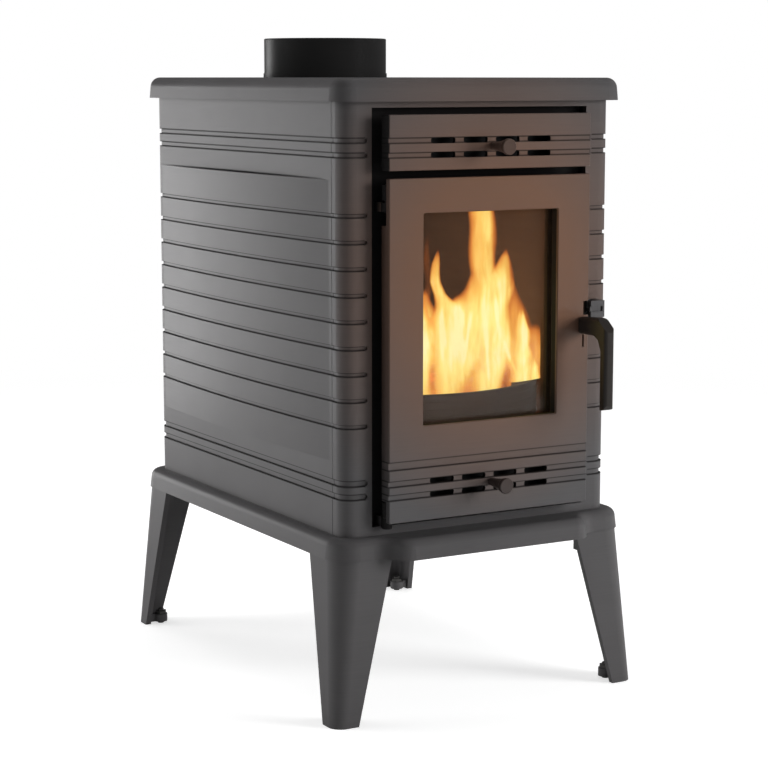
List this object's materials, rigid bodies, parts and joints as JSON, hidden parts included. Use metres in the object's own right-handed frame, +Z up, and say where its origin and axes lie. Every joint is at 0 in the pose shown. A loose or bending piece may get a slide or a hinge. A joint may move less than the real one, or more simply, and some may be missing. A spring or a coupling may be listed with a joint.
{
  "type": "cast iron wood stove",
  "caption": "Freestanding cast iron wood stove on splayed legs, with a glazed hinged door, a drop handle and latch, pull-out air dampers, logs on the grate and a round top flue collar.",
  "frame": {"origin": "floor level, at the centre of the overall footprint", "axes": "+Z up, -Y out of the door, +X to the right as seen from the front"},
  "size_m": [0.3966, 0.5914, 0.744],
  "materials": {
    "iron": "matt heat-proof paint, fine cast grain",
    "iron_black": "satin black",
    "steel": "darkened steel",
    "rope": "woven glass fibre",
    "glass": "clear ceramic glass, slightly smoked",
    "wood": "charred round logs"
  },
  "bodies": {
    "stove": {"base_frame": "iron", "leg_front_right": "iron", "leg_front_left": "iron", "leg_rear_right": "iron", "leg_rear_left": "iron", "leg_bolts": "steel", "levelling_studs": "steel", "levelling_nuts": "steel", "tie_rods": "steel", "tie_rod_nuts": "steel", "bottom_plate": "iron", "front_frame": "iron", "hinge_pins": "steel", "hinge_washer": "steel", "side_wall_left": "iron", "side_wall_right": "iron", "rear_wall": "iron", "top_plate": "iron", "flue_collar": "iron_black", "collar_bolts": "steel", "upper_air_panel": "iron", "upper_panel_bolts": "steel", "latch_keeper": "iron_black", "keeper_screws": "steel", "fire_floor": "iron_black", "grate": "iron_black", "ash_pan": "steel", "side_lining_left": "iron_black", "side_lining_right": "iron_black", "rear_lining": "iron_black", "baffle_plate": "iron_black", "log_guard": "iron_black", "firewood": "wood"},
    "upper_air": {"upper_damper": "steel", "upper_knob": "iron_black"},
    "door": {"door_frame": "iron", "door_rope": "rope", "glass_gasket": "rope", "glass_pane": "glass", "glass_clips": "steel", "clip_screws": "steel"},
    "lower_air": {"lower_damper": "steel", "lower_knob": "iron_black"},
    "handle": {"door_handle": "iron_black", "handle_spindle": "steel", "latch_blade": "steel", "spindle_nut": "steel"}
  },
  "joints": [
    {"name": "door_swing", "type": "hinge", "parent": "stove", "child": "door", "pos_m": [-0.124, -0.22825, 0.4], "axis": [0, 0, -1], "range_deg": [0, 104]},
    {"name": "handle_turn", "type": "hinge", "parent": "door", "child": "handle", "pos_m": [0.121, -0.24175, 0.422], "axis": [0, -1, 0], "range_deg": [0, 68]},
    {"name": "upper_damper_pull", "type": "slide", "parent": "stove", "child": "upper_air", "axis": [0, -1, 0], "range_m": [0, 0.0112]},
    {"name": "lower_damper_pull", "type": "slide", "parent": "door", "child": "lower_air", "axis": [0, -1, 0], "range_m": [0, 0.0112]}
  ]
}
